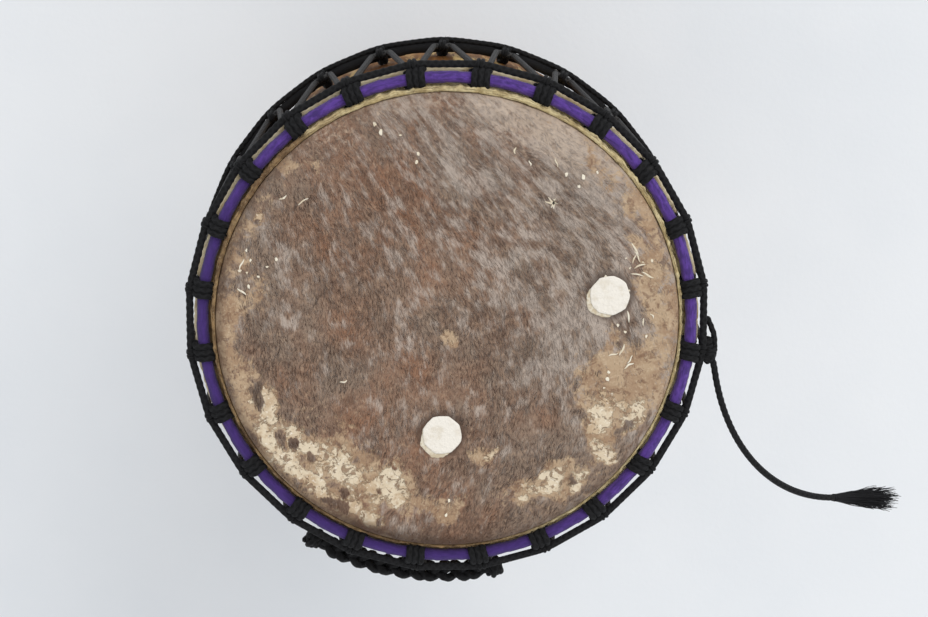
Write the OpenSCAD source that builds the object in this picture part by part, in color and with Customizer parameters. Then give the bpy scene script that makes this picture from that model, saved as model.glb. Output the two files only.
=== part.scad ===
// Rope-tuned goblet drum with a hair-on hide head, standing upright on its foot.
// The origin is the centre of the foot's resting face, and +Z runs up the drum's axis to the head.

/* [Shell] */
// Height of the playing surface above the floor
drum_h = 580; // [560:1:600]
// Radius of the shell at its rim, under the hide
rim_r = 158; // [157:0.5:158.5]
// Largest radius of the bowl
belly_r = 165.6; // [164:0.1:165.6]
// How far the belly lies below the playing surface
belly_drop = 130; // [125:1:135]
// How far below the belly the bowl's full curve would close
bowl_depth = 218; // [210:1:225]
// Radius of the neck between bowl and foot
neck_r = 60; // [50:1:70]
// Radius of the flared foot
foot_r = 108; // [95:1:112]
// Wall of the wooden shell
wall = 14; // [10:0.5:16]

/* [Hide and rings] */
// Thickness of the hide
hide_t = 1.2; // [1:0.1:1.3]
// Radius of the steel rod that the three rings are bent from
rod_r = 3; // [2.5:0.1:3]
// Centre line radius of the crown ring
crown_ring_r = 170; // [169.8:0.1:170.4]
// How far the crown ring lies below the playing surface
crown_drop = 15; // [14:0.5:16]
// Centre line radius of the flesh ring
flesh_ring_r = 172.3; // [172:0.1:172.5]
// Centre line radius of the lower ring
lower_ring_r = 172.8; // [172.8:0.1:173.4]
// How far the lower ring lies below the crown ring
ring_gap = 140; // [138:1:142]
// Thickness of the cloth strip wound round the crown ring
crown_cloth_t = 0.9; // [0.6:0.1:0.9]
// Thickness of the cloth strip wound round the lower ring
lower_cloth_t = 0.6; // [0.4:0.1:0.7]

/* [Ropes] */
// Radius of the cord used for loops, tuning rope and tail
rope_r = 2.1; // [1.9:0.05:2.1]
// Number of loops on each ring
loop_count = 24; // [24]
// Turns in a loop on the crown ring
crown_turns = 3; // [3]
// Turns in a loop on the lower ring
lower_turns = 2; // [2]

/* [Spare rope and tail] */
// Number of interlocked loops in the chained spare rope
braid_links = 12; // [8:1:12]
// Centre line radius of one loop of the chain
link_r = 7; // [7:0.1:7.2]
// Direction of the knot that the chained spare rope is tied to
braid_angle = 240; // [236:1:244]
// Direction of the knot that the loose tail is tied to
tail_angle = -9.5; // [-10:0.5:-9]
// Radius of the bend in the loose tail
tail_bend_r = 170; // [160:1:180]
// How far the loose tail turns between its knot and its frayed end
tail_turn = 62; // [50:1:70]
// Length of the frayed end
tassel_len = 60; // [40:1:70]

/* [Patches on the head] */
// Radius of a round white patch
patch_r = 14; // [12:0.5:15]
// Thickness of a patch
patch_t = 0.9; // [0.5:0.1:1.2]
// Centre of the patch near the side of the head
side_patch = [112, 19.5]; // [-120:0.5:120]
// Centre of the patch near the lower edge of the head
lower_patch = [-4, -79]; // [-120:0.5:120]

/* [Hidden] */
$fn = 64;

fit_gap = 0.1;
film_gap = 0.02;
loop_step = 360 / loop_count;
crown_z = drum_h - crown_drop;
lower_z = crown_z - ring_gap;
belly_z = drum_h - belly_drop;

// Shell outline
bowl_power = 3;
neck_z = belly_z - bowl_depth * pow(1 - pow(neck_r / belly_r, bowl_power), 1 / bowl_power);
rim_z = drum_h - 34;
shell_top = drum_h - hide_t - fit_gap;
edge_round = 8;
foot_power = 1.9;
foot_wall = 11;
bevel_w = 3;
bevel_h = 4;
land_h = 12;
neck_lift = 0.2 * wall;
bowl_steps = 14;
foot_steps = 12;
arc_steps = 6;

// Loops of cord round a ring: gap to the ring, distance between turns, and how the cord sits
turn_share = 2.1;
turn_pitch = turn_share * rope_r;
sleeve_rise = 0.1;
crown_bore = rod_r + crown_cloth_t + 2 * fit_gap;
crown_loop_out = crown_bore + sleeve_rise + 2 * rope_r;
lower_bore = rod_r + lower_cloth_t + fit_gap;
squeezed_r = 0.76 * rope_r;
sleeve_lip = 0.9 * sleeve_rise;
sleeve_reach = 0.6;
sleeve_wall = 1.3;
run_share = 0.92;
run_clear = 1.8;

// The hide wraps the flesh ring just under the crown loops
skin_gap = 0.05;
wrap_in = rod_r + skin_gap;
wrap_out = wrap_in + hide_t;
fold_z = crown_z - crown_loop_out - 2 * fit_gap - hide_t;
flesh_z = fold_z + hide_t - wrap_out - film_gap;
collar_crack = 0.5;
collar_drop = 5;
skirt_r = rim_r + fit_gap + hide_t;
collar_r = skirt_r + collar_crack;
collar_top = drum_h - collar_drop;

// Straight runs of loop cord between neighbouring loops
crown_run_r = crown_ring_r + crown_bore + rope_r + run_clear;
lower_run_lift = 1.3;
lower_run_out = lower_bore + sleeve_rise + squeezed_r + lower_run_lift;

// Where the tuning rope turns, below the crown loops and above the lower loops
crown_bight_out = 9.3;
crown_bight_drop = 7;
lower_bight_out = 1.7;
lower_bight_rise = 9.4;
crown_bight = [crown_ring_r + crown_bight_out, crown_z - crown_bight_drop];
lower_bight = [lower_ring_r + lower_bight_out, lower_z + lower_bight_rise];
crown_half = 6;
lower_half = 6.8;
corner_r = rope_r + 0.15;

// Chained spare rope, tied at one end and swinging about the knot there
braid_out = 19.8;
braid_drop = 26;
braid_r = crown_ring_r + braid_out;
braid_z = crown_z - braid_drop;
knot_r = 4;
knot_core = 0.5 * rope_r;
link_out = link_r + rope_r;
link_pitch = link_out + 2 * fit_gap;
link_step = 2 * asin(link_pitch / 2 / braid_r);
knot_out = knot_r + rope_r;
knot_gap = 0.4;
knot_to_link = 2 * asin((knot_out + link_out + knot_gap) / 2 / braid_r);
first_link = braid_angle + knot_to_link;
last_link = first_link + (braid_links - 1) * link_step;
end_knot_angle = last_link + knot_to_link;

// Loose tail, a circular bend in a plane that leans outwards and down
tail_out = 18.8;
tail_drop = 5;
tail_r = crown_ring_r + tail_out;
tail_z = crown_z - tail_drop;
tail_yaw = 10;
tail_lean = 35;
tail_dip = 14;
tail_gap = 0.9;
tail_start = knot_out + tail_gap;
tail_end_r = 1.25 * rope_r;
tassel_gap = 0.2;
tassel_root_r = 0.9 * rope_r;
tassel_tip_r = 4 * rope_r;

// Glue under a patch, spread towards one side
glue_t = 0.2;
glue_z = drum_h + film_gap;
glue_shift = [-0.2 * patch_r, -0.18 * patch_r];
chamfer = 0.4;

// A point given as distance from the axis, direction and height
function polar(r, a, z) = [r * cos(a), r * sin(a), z];

// A point beside a loop, moved sideways along the ring
function beside(rz, a, side) =
    [rz[0] * cos(a) - side * sin(a), rz[0] * sin(a) + side * cos(a), rz[1]];

// The bowl stays wide below its belly and then turns in fast
function bowl_r(z) = belly_r * pow(1 - pow((belly_z - z) / bowl_depth, bowl_power), 1 / bowl_power);
function foot_curve(z, low, high) = high + (low - high) * pow(1 - z / neck_z, foot_power);
function shoulder_r(t) = rim_r + (belly_r - rim_r) * (1 + cos(180 * t)) / 2;

// The outside of the shell from floor to rim, and the inside back down again
function shell_outside() = concat(
    [for (i = [0:foot_steps - 1]) let (z = neck_z * i / foot_steps)
        [foot_curve(z, foot_r, neck_r), z]],
    [for (i = [0:bowl_steps]) let (z = neck_z + (belly_z - neck_z) * sin(90 * i / bowl_steps))
        [bowl_r(z), z]],
    [for (i = [1:arc_steps]) [shoulder_r(i / arc_steps), belly_z + (rim_z - belly_z) * i / arc_steps]],
    [for (i = [0:arc_steps]) let (a = 90 * i / arc_steps)
        [rim_r - edge_round + edge_round * cos(a), shell_top - edge_round + edge_round * sin(a)]]
);
function shell_inside() = concat(
    [[rim_r - wall + bevel_w, shell_top - bevel_h], [rim_r - wall, shell_top - land_h]],
    [for (i = [bowl_steps:-1:1]) let (z = neck_z + (belly_z - neck_z) * sin(90 * i / bowl_steps))
        [bowl_r(z) - wall, z + neck_lift]],
    [for (i = [foot_steps:-1:0]) let (z = neck_z * i / foot_steps)
        [foot_curve(z, foot_r - foot_wall, neck_r - wall), z]]
);

module shell() {
    color("burlywood")
        rotate_extrude()
            polygon(concat(shell_outside(), shell_inside()));
}

// A disc with a rounded upper edge, as a half profile
module rounded_half(r, top, low, round_r) {
    translate([0, low])
        square([r, top - round_r - low]);
    translate([0, low])
        square([r - round_r, top - low]);
    translate([r - round_r, top - round_r])
        circle(r = round_r);
}

// The hide covers the rim, runs down to the flesh ring, wraps it and comes back up as a collar
module head_skin() {
    web_z = flesh_z - wrap_out + skin_gap;
    color("rosybrown")
        rotate_extrude() {
            difference() {
                rounded_half(skirt_r, drum_h, web_z, edge_round + fit_gap + hide_t);
                rounded_half(skirt_r - hide_t, drum_h - hide_t, web_z - hide_t, edge_round + fit_gap);
            }
            translate([skirt_r - hide_t, web_z])
                square([flesh_ring_r - skirt_r + hide_t, hide_t]);
            difference() {
                translate([flesh_ring_r, flesh_z])
                    circle(r = wrap_out);
                translate([flesh_ring_r, flesh_z])
                    circle(r = wrap_in);
            }
            translate([collar_r, fold_z])
                square([flesh_ring_r - collar_r, hide_t]);
            translate([collar_r, fold_z])
                square([hide_t, collar_top - fold_z]);
        }
}

module rod_ring(ring_r, z) {
    translate([0, 0, z])
        rotate_extrude()
            translate([ring_r, 0])
                circle(r = rod_r);
}

module wound_cloth(ring_r, z, cloth_t) {
    translate([0, 0, z])
        rotate_extrude()
            translate([ring_r, 0])
                difference() {
                    circle(r = rod_r + cloth_t);
                    circle(r = rod_r + film_gap);
                }
}

module flesh_ring() {
    color("silver")
        rod_ring(flesh_ring_r, flesh_z);
}

module crown_ring() {
    color("silver")
        rod_ring(crown_ring_r, crown_z);
}

module crown_ring_cloth() {
    color("rebeccapurple")
        wound_cloth(crown_ring_r, crown_z, crown_cloth_t);
}

module lower_ring() {
    color("silver")
        rod_ring(lower_ring_r, lower_z);
}

module lower_ring_cloth() {
    color("dimgray")
        wound_cloth(lower_ring_r, lower_z, lower_cloth_t);
}

// Turns of cord wound side by side round a ring, with the ring running along Y
module turns(count, bore, cord_r = rope_r) {
    half = (count - 1) / 2 * turn_share * cord_r;
    sleeve = half + sleeve_reach * cord_r;
    wall_r = bore + sleeve_wall * cord_r;
    rotate([90, 0, 0])
        rotate_extrude() {
            for (i = [0:count - 1])
                translate([bore + sleeve_rise + cord_r, i * turn_share * cord_r - half])
                    circle(r = cord_r);
            polygon([
                [bore + sleeve_lip, -sleeve], [bore, 0], [bore + sleeve_lip, sleeve],
                [wall_r, sleeve], [wall_r, -sleeve]
            ]);
        }
}

// A straight run of cord from a to b
module cord_run(a, b, r = rope_r) {
    d = b - a;
    translate(a)
        rotate([0, acos(d[2] / norm(d)), atan2(d[1], d[0])])
            cylinder(r = r, h = norm(d));
}

module crown_loop_rope() {
    color("dimgray")
        for (k = [0:loop_count - 1]) {
            a = loop_step * (k + 0.5);
            rotate(a)
                translate([crown_ring_r, 0, crown_z])
                    turns(crown_turns, crown_bore);
            cord_run(polar(crown_run_r, a, crown_z), polar(crown_run_r, a + loop_step, crown_z));
        }
}

module lower_loop_rope() {
    run = [lower_ring_r + lower_run_out, lower_z];
    end = turn_share * squeezed_r * (lower_turns - 1) / 2;
    color("dimgray")
        for (k = [0:loop_count - 1]) {
            a = loop_step * k;
            rotate(a)
                translate([lower_ring_r, 0, lower_z])
                    turns(lower_turns, lower_bore, squeezed_r);
            cord_run(beside(run, a, end), beside(run, a + loop_step, -end), run_share * squeezed_r);
        }
}

// One long rope that turns below a crown loop, runs down, turns above a lower loop and runs up to the next
module tuning_rope() {
    color("dimgray")
        for (k = [0:loop_count - 1]) {
            a = loop_step * (k + 0.5);
            b = loop_step * (k + 1);
            over_in = beside(crown_bight, a, -crown_half);
            over_out = beside(crown_bight, a, crown_half);
            under_in = beside(lower_bight, b, -lower_half);
            under_out = beside(lower_bight, b, lower_half);
            next_over = beside(crown_bight, a + loop_step, -crown_half);
            cord_run(over_in, over_out);
            cord_run(over_out, under_in);
            cord_run(under_in, under_out);
            cord_run(under_out, next_over);
            for (corner = [over_in, over_out, under_in, under_out])
                translate(corner)
                    sphere(r = corner_r);
        }
}

module rope_link(r) {
    rotate_extrude()
        translate([r, 0])
            circle(r = rope_r);
}

// A barrel knot, three tight turns of cord stacked along Z, about which the cord tied to it swings
module stopper_knot() {
    half = turn_pitch + sleeve_reach * rope_r;
    rotate_extrude() {
        for (i = [-1:1])
            translate([knot_r, i * turn_pitch])
                circle(r = rope_r);
        translate([0, -half])
            square([knot_r + knot_core, 2 * half]);
    }
}

module spare_rope_knot() {
    color("dimgray")
        translate(polar(braid_r, braid_angle, braid_z))
            stopper_knot();
}

module spare_rope_braid() {
    color("dimgray")
        for (i = [0:braid_links - 1]) {
            lean = i % 2 == 0 ? 45 : -45;
            translate(polar(braid_r, first_link + i * link_step, braid_z))
                rotate([0, 0, first_link + i * link_step])
                    rotate([0, lean, 0])
                        rope_link(link_r);
        }
}

// The end of the spare rope, knotted through the last loop of the chain
module braid_end_knot() {
    color("dimgray")
        translate(polar(braid_r, end_knot_angle, braid_z))
            stopper_knot();
}

module at_tail_knot() {
    translate(polar(tail_r, tail_angle, tail_z))
        children();
}

// The tail's own frame: X along the cord as it leaves the knot, Y towards the side it bends to
module in_tail_plane() {
    at_tail_knot()
        rotate([0, 0, tail_yaw - 90])
            rotate([0, tail_dip, 0])
                rotate([-tail_lean, 0, 0])
                    children();
}

module tail_hitch() {
    color("dimgray")
        at_tail_knot()
            stopper_knot();
}

// Moves to a place along the tail's bend, with Y along the cord there
module along_tail(turned) {
    in_tail_plane()
        translate([tail_start, tail_bend_r, 0])
            rotate([0, 0, turned - 90])
                translate([tail_bend_r, 0, 0])
                    children();
}

module tail_cord() {
    color("dimgray") {
        in_tail_plane()
            translate([tail_start, tail_bend_r, 0])
                rotate([0, 0, -90])
                    rotate_extrude(angle = tail_turn)
                        translate([tail_bend_r, 0])
                            circle(r = rope_r);
        along_tail(tail_turn)
            sphere(r = tail_end_r);
    }
}

// The unravelled end of the tail opens out into a cone of loose fibres
module tail_tassel() {
    color("darkslategray")
        along_tail(tail_turn)
            rotate([-90, 0, 0])
                translate([0, 0, tail_end_r + tassel_gap])
                    cylinder(r1 = tassel_root_r, r2 = tassel_tip_r, h = tassel_len);
}

// A thin disc with a chamfered upper edge
module disc(r, t) {
    rotate_extrude()
        polygon([[0, 0], [r, 0], [r, t * (1 - chamfer)], [r - t * chamfer, t], [0, t]]);
}

module patch(centre) {
    color("white")
        translate([centre[0], centre[1], glue_z + glue_t + film_gap])
            disc(patch_r, patch_t);
}

// The old glue spreads past the patch on one side
module patch_glue(centre) {
    color("wheat")
        translate([centre[0] + glue_shift[0], centre[1] + glue_shift[1], glue_z])
            disc(patch_r, glue_t);
}

module patch_side() {
    patch(side_patch);
}

module patch_side_glue() {
    patch_glue(side_patch);
}

module patch_lower() {
    patch(lower_patch);
}

module patch_lower_glue() {
    patch_glue(lower_patch);
}

shell();
head_skin();
flesh_ring();
crown_ring();
crown_ring_cloth();
crown_loop_rope();
tuning_rope();
lower_ring();
lower_ring_cloth();
lower_loop_rope();
spare_rope_knot();
spare_rope_braid();
braid_end_knot();
tail_hitch();
tail_cord();
tail_tassel();
patch_side();
patch_side_glue();
patch_lower();
patch_lower_glue();
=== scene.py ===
# Looks for a rope-tuned goblet drum with a hair-on hide head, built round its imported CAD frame.
# Lengths are in millimetres until a mesh is made. Directions round the drum are in degrees from +X.
import math

import bpy
import numpy as np
from mathutils import Matrix, Vector


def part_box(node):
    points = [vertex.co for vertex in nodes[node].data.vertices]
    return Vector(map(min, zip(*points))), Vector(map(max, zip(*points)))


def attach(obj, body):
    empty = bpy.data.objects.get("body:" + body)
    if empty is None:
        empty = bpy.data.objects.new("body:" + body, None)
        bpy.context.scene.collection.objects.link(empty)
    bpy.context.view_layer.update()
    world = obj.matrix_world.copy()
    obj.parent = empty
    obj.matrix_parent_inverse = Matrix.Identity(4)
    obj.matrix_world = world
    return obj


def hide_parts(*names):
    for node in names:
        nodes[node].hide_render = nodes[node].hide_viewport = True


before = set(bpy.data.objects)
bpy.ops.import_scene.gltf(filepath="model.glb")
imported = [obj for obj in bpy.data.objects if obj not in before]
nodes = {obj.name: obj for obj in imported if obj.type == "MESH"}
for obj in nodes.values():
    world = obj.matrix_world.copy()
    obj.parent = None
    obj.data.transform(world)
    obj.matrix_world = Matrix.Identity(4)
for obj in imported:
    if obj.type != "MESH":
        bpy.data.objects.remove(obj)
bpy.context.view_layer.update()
MM = 0.001
TURN = 2 * math.pi
rng = np.random.default_rng(7)


# ---------------------------------------------------------------- places read from the frame

def box_mm(node):
    low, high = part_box(node)
    return np.array(low) / MM, np.array(high) / MM


def centre_mm(node):
    low, high = box_mm(node)
    return (low + high) / 2


def points_mm(node):
    data = nodes[node].data
    flat = np.empty(len(data.vertices) * 3)
    data.vertices.foreach_get("co", flat)
    return flat.reshape(-1, 3) / MM


def ring_of(node):
    """Centre line radius, tube radius and height of a ring."""
    low, high = box_mm(node)
    tube = (high[2] - low[2]) / 2
    return (high[0] - low[0]) / 2 - tube, tube, (high[2] + low[2]) / 2


crown_r, crown_tube, crown_z = ring_of("crown_ring_cloth")
lower_r, lower_tube, lower_z = ring_of("lower_ring_cloth")
flesh_r, flesh_tube, flesh_z = ring_of("flesh_ring")
head_z = box_mm("head_skin")[1][2]
# Gaps that the CAD leaves round the flesh ring and between the hide and the shell
FLESH_GAP = 0.05
FIT_GAP = 0.1
hide_t = (box_mm("head_skin")[1][0] - flesh_r - flesh_tube) - FLESH_GAP
shell_points = points_mm("shell")
rim_points = shell_points[shell_points[:, 2] > head_z - 30]
rim_r = np.hypot(rim_points[:, 0], rim_points[:, 1]).max()
head_r = rim_r + FIT_GAP + hide_t
rope_r = (box_mm("crown_loop_rope")[1][2] - crown_z - crown_tube - 3 * FIT_GAP) / 2
squeezed_r = (box_mm("lower_loop_rope")[1][2] - lower_z - lower_tube - 2 * FIT_GAP) / 2
LOOPS = 24
# Distance between turns of cord, as a share of the cord's radius
TURN_SHARE = 2.1
loop_step = 360 / LOOPS
# One unit on the head, close to a millimetre, so that marks keep their places if the head changes size
UNIT = head_r / 160
# How far the hide swells out at its rounded edge, over the fold below
SWELL = 1.5
# Radius that the head is rounded by at its edge, outside the shell's own rounding of 8
edge_r = 8 + FIT_GAP + hide_t


# ---------------------------------------------------------------- noise

def lattice(x, y, z, seed):
    n = (x * 374761393 + y * 668265263 + z * 1440670441 + seed * 1274126177) & 0xFFFFFFFF
    n = ((n ^ (n >> 13)) * 1103515245) & 0xFFFFFFFF
    n = ((n ^ (n >> 15)) * 668265263) & 0xFFFFFFFF
    return ((n ^ (n >> 16)) & 0xFFFF) / 32767.5 - 1


def noise(points, size, seed):
    """Smooth noise between -1 and 1 with features about as large as size."""
    q = points / size
    base = np.floor(q).astype(np.int64)
    t = q - base
    t = t * t * (3 - 2 * t)
    total = 0
    for i in (0, 1):
        for j in (0, 1):
            for k in (0, 1):
                w = 1
                for axis, on in enumerate((i, j, k)):
                    w = w * (t[:, axis] if on else 1 - t[:, axis])
                total = total + w * lattice(base[:, 0] + i, base[:, 1] + j, base[:, 2] + k, seed)
    return total


def rough_noise(points, size, seed, octaves=4):
    total = 0
    for i in range(octaves):
        total = total + noise(points, size / 2**i, seed + i) * 0.5**i
    return total


def reach(points):
    """Distance of each point from the drum's axis."""
    return np.hypot(points[:, 0], points[:, 1])


def smooth_step(x, low, high):
    t = np.clip((x - low) / (high - low), 0, 1)
    return t * t * (3 - 2 * t)


# ---------------------------------------------------------------- meshes

def grid(points, round_rows=False, round_cols=False, u=None, v=None, flip=False):
    """A part whose points form rows and columns, each open or closed on itself."""
    rows, cols = points.shape[:2]
    a = np.arange(rows if round_rows else rows - 1)
    b = np.arange(cols if round_cols else cols - 1)
    a, b = np.meshgrid(a, b, indexing="ij")
    corners = [(a, b), (a + 1, b), (a + 1, b + 1), (a, b + 1)]
    if flip:
        corners = corners[::-1]
    faces = np.stack([(i % rows) * cols + j % cols for i, j in corners], -1).reshape(-1, 4)
    u = np.arange(rows + 1) / rows if u is None else u
    v = np.arange(cols + 1) / cols if v is None else v
    uv = np.stack([np.stack([u[i], v[j]], -1) for i, j in corners], 2).reshape(-1, 2)
    return [points.reshape(-1, 3), [faces], [uv]]


def join(parts):
    points, faces, uvs = [], [], []
    start = 0
    for p, fs, us in parts:
        points.append(p)
        faces += [f + start for f in fs]
        uvs += us
        start += len(p)
    return [np.concatenate(points), faces, uvs]


def cap(part, loop):
    """Closes a loop of a part's points with a fan round its middle.

    The loop runs anticlockwise seen from outside.
    """
    points, faces, uvs = part
    middle = points[loop].mean(0)
    n = len(points)
    fan = np.stack([loop, np.roll(loop, -1), np.full(len(loop), n)], -1)
    return [np.vstack([points, middle]), faces + [fan], uvs + [np.zeros((fan.size, 2))]]


def capped(points, u=None, v=None, flip=False):
    """A part of loops of points one after another, with both its ends closed."""
    rows, cols = points.shape[:2]
    first, last = np.arange(cols), (rows - 1) * cols + np.arange(cols)
    part = cap(grid(points, False, True, u, v, flip), first[::-1] if flip else first)
    return cap(part, last if flip else last[::-1])


def add_object(name, data):
    made = bpy.data.objects.new(name, data)
    bpy.context.scene.collection.objects.link(made)
    return made


def build(name, part, material, body="drum", values=None, replaces=None):
    points, faces, uvs = part
    data = bpy.data.meshes.new(name)
    data.vertices.add(len(points))
    data.vertices.foreach_set("co", (points * MM).astype(np.float32).ravel())
    sizes = np.concatenate([np.full(len(f), f.shape[1]) for f in faces])
    loops = np.concatenate([f.ravel() for f in faces])
    data.loops.add(len(loops))
    data.loops.foreach_set("vertex_index", loops.astype(np.int32))
    data.polygons.add(len(sizes))
    data.polygons.foreach_set("loop_start", (np.cumsum(sizes) - sizes).astype(np.int32))
    data.polygons.foreach_set("use_smooth", np.ones(len(sizes), bool))
    layer = data.uv_layers.new(name="along")
    layer.data.foreach_set("uv", np.concatenate(uvs).astype(np.float32).ravel())
    for key, value in (values or {}).items():
        kind = "FLOAT" if value.ndim == 1 else "FLOAT_VECTOR"
        attribute = data.attributes.new(key, kind, "POINT")
        field = "value" if value.ndim == 1 else "vector"
        attribute.data.foreach_set(field, value.astype(np.float32).ravel())
    data.update(calc_edges=True)
    data.validate()
    data.materials.append(material)
    piece = add_object(name, data)
    if body:
        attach(piece, body)
    if replaces:
        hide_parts(replaces)
    return piece


def lengths(path):
    """How far each point of a path is from its start, along the path."""
    return np.concatenate([[0], np.cumsum(np.linalg.norm(np.diff(path, axis=0), axis=1))])


def resample(path, spacing, closed):
    path = np.array(path, float)
    if closed:
        path = np.vstack([path, path[:1]])
    along = lengths(path)
    count = max(4, int(round(along[-1] / spacing)))
    places = np.linspace(0, along[-1], count + 1)
    places = places[:-1] if closed else places
    return np.stack([np.interp(places, along, path[:, i]) for i in range(3)], -1)


def soften(path, spacing, passes, closed):
    path = resample(path, spacing, closed)
    for _ in range(passes):
        if closed:
            path = path / 2 + (np.roll(path, 1, 0) + np.roll(path, -1, 0)) / 4
        else:
            path[1:-1] = path[1:-1] / 2 + (path[2:] + path[:-2]) / 4
    return resample(path, spacing, closed)


def unit(v):
    return v / np.maximum(np.linalg.norm(v, axis=-1, keepdims=True), 1e-9)


def across(path, closed):
    """Two directions square to a path at each point, carried along it without twist."""
    if closed:
        tangent = unit(np.roll(path, -1, 0) - np.roll(path, 1, 0))
    else:
        tangent = unit(np.gradient(path, axis=0))
    first = np.cross(tangent[0], (0.0, 0.0, 1.0))
    if np.linalg.norm(first) < 0.1:
        first = np.cross(tangent[0], (1.0, 0.0, 0.0))
    side = np.empty_like(path)
    side[0] = unit(first)
    for i in range(1, len(path)):
        kept = side[i - 1] - tangent[i] * (side[i - 1] @ tangent[i])
        side[i] = kept / math.sqrt(kept @ kept)
    other = np.cross(tangent, side)
    if closed:
        last = side[-1] - tangent[0] * (side[-1] @ tangent[0])
        twist = math.atan2(last @ other[0], last @ side[0])
        turn = -twist * np.arange(len(path)) / len(path)
        c, s = np.cos(turn)[:, None], np.sin(turn)[:, None]
        side, other = side * c + other * s, other * c - side * s
    return side, other


# The cord's braid: length of one wave, its relief as a share of the radius, and strands in each family
BRAID_PITCH = 5.2
BRAID_RELIEF = 0.075
BRAID_STRANDS = 3
# Points round the cord and distance between its cross-sections
ROPE_SIDES = 12
ROPE_STEP = 1.25


def rope(path, radius=None, passes=6, closed=False):
    """Braided cord along a path. Two families of strands cross on its surface."""
    radius = rope_r if radius is None else radius
    path = soften(path, ROPE_STEP, passes, closed)
    side, other = across(path, closed)
    along = lengths(path)
    length = along[-1] + (ROPE_STEP if closed else 0)
    waves = round(length / BRAID_PITCH)
    u = along * waves / length
    v = np.arange(ROPE_SIDES) / ROPE_SIDES
    one = np.cos(TURN * (BRAID_STRANDS * v[None, :] + u[:, None]))
    two = np.cos(TURN * (BRAID_STRANDS * v[None, :] - u[:, None]))
    shape = radius * (1 + BRAID_RELIEF * (np.maximum(one, two) - 0.5))
    if not closed:
        order = np.arange(len(path))
        edge = np.minimum(order, order[::-1]) * ROPE_STEP / radius
        shape = shape * np.sqrt(np.clip(1 - (1 - np.clip(edge, 0, 1)) ** 2, 0.1, 1))[:, None]
    a = v * TURN
    points = path[:, None] + shape[..., None] * (
        side[:, None] * np.cos(a)[None, :, None] + other[:, None] * np.sin(a)[None, :, None]
    )
    u, v = np.append(u, waves), np.append(v, 1.0)
    return grid(points, True, True, u, v, flip=True) if closed else capped(points, u, v, flip=True)


def polar(r, degrees, z):
    a = np.radians(degrees)
    return np.stack(np.broadcast_arrays(r * np.cos(a), r * np.sin(a), z), -1)


def torus(ring_r, ring_z, tube, count, sides):
    """A ring whose tube radius comes from tube(angle round the drum, angle round the tube)."""
    a = TURN * np.arange(count) / count
    b = TURN * np.arange(sides) / sides
    a, b = np.meshgrid(a, b, indexing="ij")
    t = tube(a, b)
    r = ring_r + t * np.cos(b)
    points = np.stack([r * np.cos(a), r * np.sin(a), ring_z + t * np.sin(b)], -1)
    u = np.arange(count + 1) / count * TURN * ring_r
    return grid(points, True, True, u, np.arange(sides + 1) / sides * TURN * 4)


def spindles(roots, tips, width, across_dir):
    """Many thin closed blades, each tapering to a point at both ends."""
    widest_at = 0.4
    mid = roots + (tips - roots) * widest_at
    up = unit(np.cross(tips - roots, across_dir))
    w = np.asarray(width, float).reshape(-1, 1)
    under = mid - up * w / 4
    ring = [under + across_dir * w / 2, under - across_dir * w / 2, mid + up * w / 4]
    n = len(roots)
    points = np.concatenate([roots, tips] + ring)
    i = np.arange(n)
    faces = []
    for k in range(3):
        p = i + (2 + k) * n
        q = i + (2 + (k + 1) % 3) * n
        faces.append(np.stack([i, p, q], -1))
        faces.append(np.stack([i + n, q, p], -1))
    faces = np.concatenate(faces)
    return [points, [faces], [np.zeros((faces.size, 2))]]


# ---------------------------------------------------------------- materials

def srgb(r, g, b):
    """A screen colour of 0 to 255 as the linear colour that a shader takes."""
    shares = [c / 255 for c in (r, g, b)]
    return tuple(c / 12.92 if c <= 0.04 else ((c + 0.055) / 1.055) ** 2.4 for c in shares) + (1.0,)


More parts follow.
